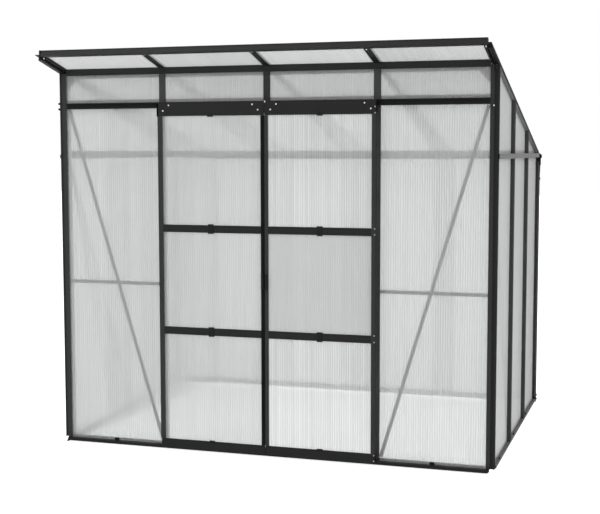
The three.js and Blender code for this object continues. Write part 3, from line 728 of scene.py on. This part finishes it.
def front_post_fittings():
    """On the right post's face a white screw, its white also a painted highlight, and, at its top,
    a plate with two bolts. On the left post's outer side two bolt heads."""
    screw = screw_head("right_post_screw", at(1.2633, -0.0008, 1.9722), 0.004)
    finished(screw, WHITE_GLINT_CAP, "frame")
    bolts = [rod("bolt", at(1.276, -0.0032, z), 0.0042, 0.0022, "Y", 0.0008)
             for z in (2.183, 2.168)]
    finished(joined("right_post_bolts", bolts), BRACE_COAT, "frame")
    plate = wall_block("right_post_plate", (1.264, 1.2882), (-0.0021, -TOUCH), (2.150, 2.1868),
                       FINE_EDGE)
    finished(plate, CLIP_PLASTIC, "frame")
    bolts = [rod("bolt", at(-1.2917, -0.003, z), 0.0062, 0.0062, "X", EDGE) for z in (2.012, 1.980)]
    finished(joined("left_post_bolts", bolts), CAP_PLASTIC, "frame")


def rear_post_fittings():
    """Bolt heads at the right post's foot, and a seal strip up each post beside the last pane."""
    bolts = [rod("bolt", at(1.2917, 1.968, z), 0.0075, 0.0062, "X", 0.0012) for z in (0.045, 0.018)]
    finished(joined("rear_post_bolts", bolts), CLIP_PLASTIC, "frame")
    for side, sign in SIDES:
        seal = wall_block(f"{side}_rear_post_seal", (sign * 1.2675, sign * 1.2875), (1.917, 1.9375),
                          (0.037, 1.66), EDGE)
        finished(seal, POST_COAT, "frame")


def corner_caps():
    """Black caps on the front end of each side rail and at each end of the gutter's beam."""
    height = (1.6845, 1.7085)
    for side, sign in SIDES:
        x = (sign * CAP_X[0], sign * CAP_X[1])
        cap = wall_block(f"{side}_rail_cap", x, (0.002, 0.0137), (1.693, 1.715), EDGE)
        finished(cap, CAP_PLASTIC, "frame")
        parts = [wall_block("cap", x, (1.8835, 1.9835), height, EDGE),
                 wall_block("cap", (sign * 1.2928, x[1]), (1.9825, 2.0385), height, FINE_EDGE)]
        finished(joined(f"{side}_gutter_cap", parts), CAP_PLASTIC, "frame")


def foot_blocks():
    """Black blocks at the front left post's foot and on the left end of the doors' guide."""
    parts = [wall_block("foot", (-1.2575, -1.2727), (0.0005, 0.0395), (0.0005, 0.0218), EDGE),
             wall_block("foot", (-1.2574, -1.2628), (-0.0353, -0.0005), (0.0005, 0.0115), EDGE)]
    finished(joined("left_foot_blocks", parts), CAP_PLASTIC, "frame")


def corner_plate():
    """A black plate on the outer end of the left door's top rail."""
    plate = wall_block("left_door_corner_plate", (-0.6442, -0.6487), (-0.0440, -0.0250),
                       (1.930, 2.003), EDGE)
    finished(plate, CAP_PLASTIC, "left_door")


def gutter_bracket():
    """A black bracket under the right end of the gutter's beam."""
    bracket = wall_block("gutter_bracket", (1.2887, 1.2946), (1.950, 1.9828), (1.640, 1.6842), EDGE)
    finished(bracket, CAP_PLASTIC, "frame")


def spout_clamp():
    """A clamp ring round the rainwater spout."""
    bpy.ops.object.select_all(action="DESELECT")
    bpy.ops.mesh.primitive_cylinder_add(vertices=48, radius=0.0245, depth=0.0175,
                                        end_fill_type="NOTHING", location=at(1.2645, 2.011, 1.5443))
    ring = settle(named(bpy.context.object, "spout_clamp"))
    wall = ring.modifiers.new("wall", "SOLIDIFY")
    wall.thickness = 0.0034
    wall.offset = -1
    bpy.ops.object.modifier_apply(modifier=wall.name)
    bevelled(ring, 0.0008)
    finished(ring, CLIP_PLASTIC, "frame")


def rafter_seals():
    """Under the roof's sheets, along each inner rafter: a black seal on its left with a pale line
    beside it, which is a painted highlight, and a pale strip on its right."""
    reach = (-0.226, 1.905)
    for name, x in zip(("left", "centre", "right"), BAYS):
        seal = slope_block(f"{name}_rafter_seal", (x - 0.0230, x - BAR_HALF), reach,
                           (0.0045, 0.0070), FINE_EDGE)
        finished(seal, SEAL_RUBBER, "frame")
        strips = [slope_block("strip", (x - 0.0275, x - 0.0235), reach, (0.0045, 0.0070)),
                  slope_block("strip", (x + BAR_HALF, x + 0.0250), reach, (0.0052, 0.0070))]
        finished(joined(f"{name}_rafter_strips", strips), PALE_STRIP_AND_HIGHLIGHT, "frame")


def rafter_heads():
    """Bolt heads behind the fascia, one beside each inner rafter."""
    heads = [rod("head", at(x, -0.2205, z), 0.0045, 0.003, "Y", EDGE)
             for x, z in ((-0.6405, 2.2655), (-0.006, 2.2665), (0.628, 2.262))]
    finished(joined("rafter_bolt_heads", heads), ZINC, "frame")


def fascia_cap():
    """A cap on the fascia's left end."""
    cap = wall_block("left_fascia_cap", (-1.2667, -1.2725), (-0.2606, -0.2275), (2.2735, 2.3031),
                     0.0008)
    finished(cap, FASCIA_COAT, "frame")


def sill_clips():
    """Glazing clips: one on the front sill in each fixed bay, over its face and its top, and three
    along the top of each side sill."""
    front = []
    for sign in (-1, 1):
        x = (sign * 0.937, sign * 0.963)
        front += [wall_block("clip", x, (-0.003, -TOUCH), (0.014, 0.036), EDGE),
                  wall_block("clip", x, (-0.0005, 0.0058), (0.0223, 0.036), EDGE)]
    finished(joined("front_sill_clips", front), CLIP_PLASTIC, "frame")
    half = 0.009
    for side, sign in SIDES:
        clips = [wall_block("clip", (sign * 1.2790, sign * 1.2870), (y - half, y + half),
                            (0.0223, 0.0310), 0.002)
                 for y in (0.244, 0.843, 1.436)]
        finished(joined(f"{side}_sill_clips", clips), CLIP_PLASTIC, "frame")


def gable_screws():
    """A white screw on the front end of each gable rafter, its white also a painted highlight."""
    for side, sign in SIDES:
        head = screw_head(f"{side}_gable_screw", at(sign * 1.2545, -0.2360, 2.2592), 0.0044, 0.002)
        finished(head, WHITE_GLINT_CAP, "frame")


# Stage


def white_floor():
    """A pale matt floor that keeps the shadow, with a glow for the rays that show it. The glow is
    strongest straight to the camera, and weaker under the greenhouse than round it, as a painted
    shadow."""
    glow_seen, glow_round, glow_in_painted_shadow = 0.85, 0.5, 0.3
    half_width, half_depth = 1.27, 0.97
    bpy.ops.object.select_all(action="DESELECT")
    bpy.ops.mesh.primitive_plane_add(size=80, location=(0, 0, -0.0005))
    floor = named(bpy.context.object, "floor")
    n = Nodes("white floor")
    matt = n.add("BsdfDiffuse", {"Color": n.grey(n.spread(n.noise(0.4, 1.0), 0.86, 0.88))})
    past = n.most(n.beyond(half_width), n.beyond(half_depth, "Y"))
    direct = n.math("MULTIPLY", n.add("LightPath").outputs["Is Camera Ray"], glow_seen)
    # Painted shadow: a weaker glow inside the greenhouse's footprint.
    strength = n.most(direct, n.spread(past, glow_in_painted_shadow, glow_round))
    glow = n.add("Emission", {"Color": (1, 1, 1, 1), "Strength": strength})
    both = n.add("AddShader", {0: matt.outputs[0], 1: glow.outputs[0]})
    lift = n.add("MixShader", {0: n.seen(), 1: matt.outputs[0], 2: both.outputs[0]})
    floor.data.materials.append(n.finish(lift.outputs[0]))


def white_surroundings():
    """Soft even light from all round, and plain white where the surroundings themselves show."""
    n = Nodes("studio", "World")
    light = n.add("Background", {"Color": (1, 1, 1, 1), "Strength": 0.75})
    white = n.add("Background", {"Color": (1, 1, 1, 1), "Strength": 1.0})
    mix = n.add("MixShader", {0: n.seen(), 1: light.outputs[0], 2: white.outputs[0]})
    bpy.context.scene.world = n.finish(mix.outputs[0])


def lamp(name, place, power):
    """A square soft lamp, aimed at the middle of the greenhouse."""
    aim = Vector((0, 0, 1.0))
    bpy.ops.object.light_add(type="AREA", location=place)
    light = bpy.context.object
    light.name = name
    light.data.shape = "SQUARE"
    light.data.size = 4.0
    light.data.energy = power
    light.rotation_euler = (aim - Vector(place)).to_track_quat("-Z", "Y").to_euler()


def lights():
    lamp("key", (-3.5, -6.0, 6.5), 220)
    lamp("fill", (6.0, -2.0, 4.0), 90)


def camera():
    """Stands to the right of the doors at eye height and looks slightly down. The focal length is
    in widths of the picture."""
    yaw, down, roll = math.radians(17.604), math.radians(5.0848), math.radians(-0.0693)
    eye_x, eye_y, eye_z = 2.2009, -6.3251, 1.7357
    film, focal = 36, 1193.87 / 600
    level = Vector((math.cos(yaw), math.sin(yaw), 0))
    ahead = Vector((-level.y * math.cos(down), level.x * math.cos(down), -math.sin(down)))
    upright = level.cross(ahead)
    right = math.cos(roll) * level + math.sin(roll) * upright
    up = math.cos(roll) * upright - math.sin(roll) * level
    data = bpy.data.cameras.new("camera")
    data.sensor_width = film
    data.lens = film * focal
    data.clip_end = 200
    eye = bpy.data.objects.new("camera", data)
    turn = Matrix((right, up, -ahead)).transposed().to_4x4()
    eye.matrix_world = Matrix.Translation(at(eye_x, eye_y, eye_z)) @ turn
    bpy.context.scene.collection.objects.link(eye)
    bpy.context.scene.camera = eye


camera()
coat_frame()

fixed_panes()
wall_panes("transom")
wall_panes("rear")
side_panes()
roof_panes()
door_panes()

door_screws()
door_clips()
handles()
meeting_seal()
door_stop()

rear_closure()
eave_strips()
gussets()
front_post_fittings()
rear_post_fittings()
corner_caps()
foot_blocks()
corner_plate()
gutter_bracket()
spout_clamp()
rafter_seals()
rafter_heads()
fascia_cap()
sill_clips()
gable_screws()

white_floor()
white_surroundings()
lights()
bpy.context.scene.view_settings.view_transform = "Standard"
